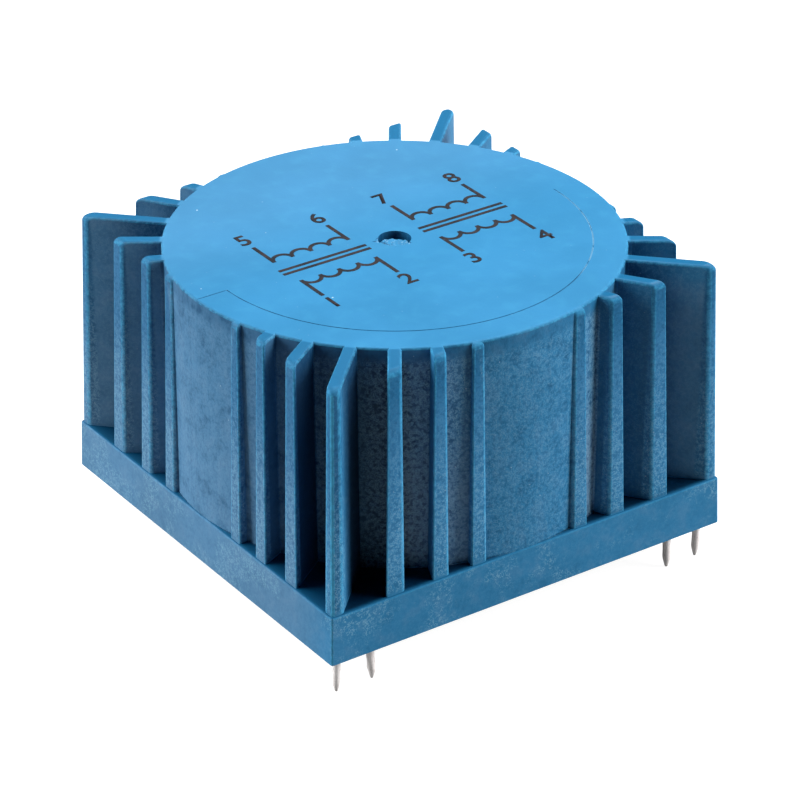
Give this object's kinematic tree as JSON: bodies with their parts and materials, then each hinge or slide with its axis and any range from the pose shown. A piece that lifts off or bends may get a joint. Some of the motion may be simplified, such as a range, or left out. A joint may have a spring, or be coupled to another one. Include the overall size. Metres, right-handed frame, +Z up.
{
  "type": "toroidal transformer",
  "caption": "Potted toroidal transformer for board mounting: a round drum with corner cooling fins on a square flange, with solder pins below.",
  "frame": {"origin": "centre of the underside, on the board's surface, midway between the pins", "axes": "+Z up out of the top face, X along the rows of pins, Y from row to row"},
  "size_m": [0.0626, 0.0626, 0.0443],
  "materials": {
    "case_plastic": "moulded matt blue plastic, dusty",
    "resin": "poured black resin, satin",
    "core_steel": "wound electrical steel strip",
    "copper": "enamelled copper wire",
    "tape": "polyester film tape",
    "tinned_pin": "tinned, slightly dull"
  },
  "bodies": {
    "root": {"case": "case_plastic", "potting_resin": "resin", "steel_core": "core_steel", "core_insulation": "tape", "primary_winding": "copper", "middle_insulation": "tape", "secondary_winding": "copper", "outer_insulation": "tape", "lead_1": "copper", "lead_2": "copper", "lead_3": "copper", "lead_4": "copper", "lead_5": "copper", "lead_6": "copper", "lead_7": "copper", "lead_8": "copper", "pin_1": "tinned_pin", "pin_2": "tinned_pin", "pin_3": "tinned_pin", "pin_4": "tinned_pin", "pin_5": "tinned_pin", "pin_6": "tinned_pin", "pin_7": "tinned_pin", "pin_8": "tinned_pin"}
  },
  "joints": []
}
